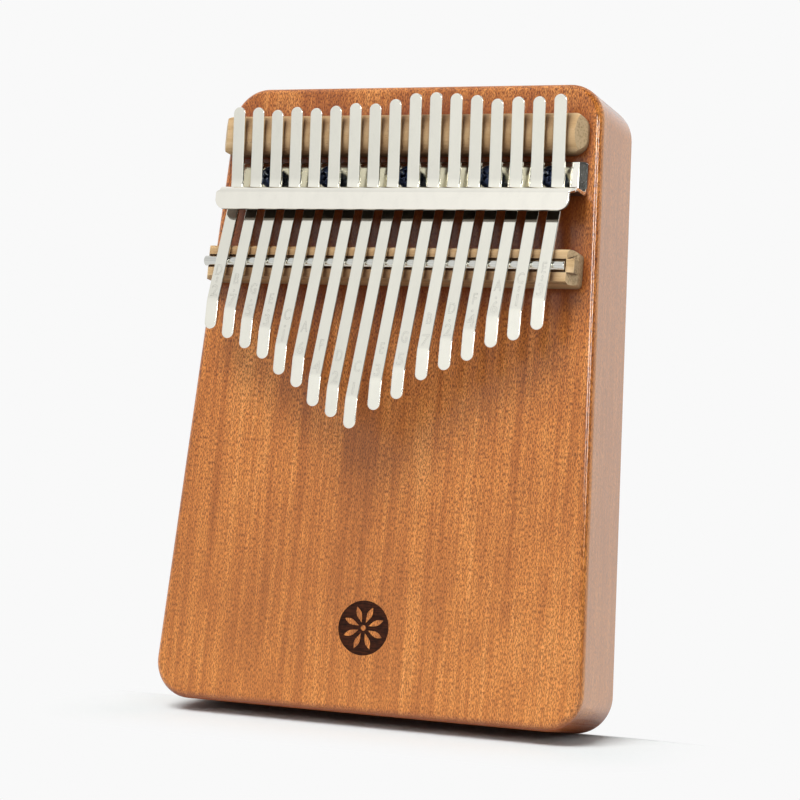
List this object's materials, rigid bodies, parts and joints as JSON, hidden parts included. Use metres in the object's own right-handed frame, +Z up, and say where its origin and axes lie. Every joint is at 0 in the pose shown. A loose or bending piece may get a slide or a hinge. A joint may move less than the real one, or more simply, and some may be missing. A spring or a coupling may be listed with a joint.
{
  "type": "mbira",
  "caption": "Tapered wooden board mbira: spring-steel tines held by a folded bracket, over a beech bridge with a steel rod and a beech backstop.",
  "frame": {"origin": "centre of the board's bottom end face", "axes": "+Z up the board towards the tines' rear ends, -Y out of the playing face towards the player, +X to the player's right"},
  "size_m": [0.134, 0.0502, 0.185],
  "materials": {
    "mahogany": "gloss varnish over straight-grained mahogany",
    "beech": "plain sanded beech",
    "steel_rod": "polished steel rod",
    "nickel_bracket": "polished nickel plate on folded sheet steel",
    "nickel_tine": "mirror-polished spring steel with engraved note marks",
    "screw_steel": "blue-black oxide pan-head screws"
  },
  "bodies": {
    "board_assembly": {"body_board": "mahogany", "backstop_bar": "beech", "bridge_saddle": "beech", "bridge_rod": "steel_rod", "z_bracket": "nickel_bracket", "bracket_screw_1": "screw_steel", "bracket_screw_2": "screw_steel", "bracket_screw_3": "screw_steel", "bracket_screw_4": "screw_steel", "bracket_screw_5": "screw_steel"},
    "tine_01": {"tine_01": "nickel_tine"},
    "tine_02": {"tine_02": "nickel_tine"},
    "tine_03": {"tine_03": "nickel_tine"},
    "tine_04": {"tine_04": "nickel_tine"},
    "tine_05": {"tine_05": "nickel_tine"},
    "tine_06": {"tine_06": "nickel_tine"},
    "tine_07": {"tine_07": "nickel_tine"},
    "tine_08": {"tine_08": "nickel_tine"},
    "tine_09": {"tine_09": "nickel_tine"},
    "tine_10": {"tine_10": "nickel_tine"},
    "tine_11": {"tine_11": "nickel_tine"},
    "tine_12": {"tine_12": "nickel_tine"},
    "tine_13": {"tine_13": "nickel_tine"},
    "tine_14": {"tine_14": "nickel_tine"},
    "tine_15": {"tine_15": "nickel_tine"},
    "tine_16": {"tine_16": "nickel_tine"},
    "tine_17": {"tine_17": "nickel_tine"}
  },
  "joints": [
    {"name": "tine_01_pluck", "type": "hinge", "parent": "board_assembly", "child": "tine_01", "pos_m": [-0.05294, -0.02404, 0.13], "axis": [1, 0, 0], "range_deg": [-0.32, 1.29], "stiffness_Nm_per_rad": 0.05},
    {"name": "tine_02_pluck", "type": "hinge", "parent": "board_assembly", "child": "tine_02", "pos_m": [-0.04656, -0.02404, 0.13], "axis": [1, 0, 0], "range_deg": [-0.36, 1.46], "stiffness_Nm_per_rad": 0.05},
    {"name": "tine_03_pluck", "type": "hinge", "parent": "board_assembly", "child": "tine_03", "pos_m": [-0.04018, -0.02404, 0.13], "axis": [1, 0, 0], "range_deg": [-0.41, 1.64], "stiffness_Nm_per_rad": 0.05},
    {"name": "tine_04_pluck", "type": "hinge", "parent": "board_assembly", "child": "tine_04", "pos_m": [-0.0338, -0.02404, 0.13], "axis": [1, 0, 0], "range_deg": [-0.46, 1.82], "stiffness_Nm_per_rad": 0.05},
    {"name": "tine_05_pluck", "type": "hinge", "parent": "board_assembly", "child": "tine_05", "pos_m": [-0.02742, -0.02404, 0.13], "axis": [1, 0, 0], "range_deg": [-0.53, 2.1], "stiffness_Nm_per_rad": 0.05},
    {"name": "tine_06_pluck", "type": "hinge", "parent": "board_assembly", "child": "tine_06", "pos_m": [-0.02104, -0.02404, 0.13], "axis": [1, 0, 0], "range_deg": [-0.58, 2.32], "stiffness_Nm_per_rad": 0.05},
    {"name": "tine_07_pluck", "type": "hinge", "parent": "board_assembly", "child": "tine_07", "pos_m": [-0.01466, -0.02404, 0.13], "axis": [1, 0, 0], "range_deg": [-0.66, 2.65], "stiffness_Nm_per_rad": 0.05},
    {"name": "tine_08_pluck", "type": "hinge", "parent": "board_assembly", "child": "tine_08", "pos_m": [-0.00828, -0.02404, 0.13], "axis": [1, 0, 0], "range_deg": [-0.71, 2.83], "stiffness_Nm_per_rad": 0.05},
    {"name": "tine_09_pluck", "type": "hinge", "parent": "board_assembly", "child": "tine_09", "pos_m": [-0.0019, -0.02404, 0.13], "axis": [1, 0, 0], "range_deg": [-0.75, 3.01], "stiffness_Nm_per_rad": 0.05},
    {"name": "tine_10_pluck", "type": "hinge", "parent": "board_assembly", "child": "tine_10", "pos_m": [0.00448, -0.02404, 0.13], "axis": [1, 0, 0], "range_deg": [-0.67, 2.67], "stiffness_Nm_per_rad": 0.05},
    {"name": "tine_11_pluck", "type": "hinge", "parent": "board_assembly", "child": "tine_11", "pos_m": [0.01086, -0.02404, 0.13], "axis": [1, 0, 0], "range_deg": [-0.61, 2.46], "stiffness_Nm_per_rad": 0.05},
    {"name": "tine_12_pluck", "type": "hinge", "parent": "board_assembly", "child": "tine_12", "pos_m": [0.01724, -0.02404, 0.13], "axis": [1, 0, 0], "range_deg": [-0.53, 2.11], "stiffness_Nm_per_rad": 0.05},
    {"name": "tine_13_pluck", "type": "hinge", "parent": "board_assembly", "child": "tine_13", "pos_m": [0.02362, -0.02404, 0.13], "axis": [1, 0, 0], "range_deg": [-0.48, 1.92], "stiffness_Nm_per_rad": 0.05},
    {"name": "tine_14_pluck", "type": "hinge", "parent": "board_assembly", "child": "tine_14", "pos_m": [0.03, -0.02404, 0.13], "axis": [1, 0, 0], "range_deg": [-0.43, 1.74], "stiffness_Nm_per_rad": 0.05},
    {"name": "tine_15_pluck", "type": "hinge", "parent": "board_assembly", "child": "tine_15", "pos_m": [0.03638, -0.02404, 0.13], "axis": [1, 0, 0], "range_deg": [-0.37, 1.49], "stiffness_Nm_per_rad": 0.05},
    {"name": "tine_16_pluck", "type": "hinge", "parent": "board_assembly", "child": "tine_16", "pos_m": [0.04276, -0.02404, 0.13], "axis": [1, 0, 0], "range_deg": [-0.34, 1.36], "stiffness_Nm_per_rad": 0.05},
    {"name": "tine_17_pluck", "type": "hinge", "parent": "board_assembly", "child": "tine_17", "pos_m": [0.04914, -0.02404, 0.13], "axis": [1, 0, 0], "range_deg": [-0.29, 1.16], "stiffness_Nm_per_rad": 0.05}
  ]
}
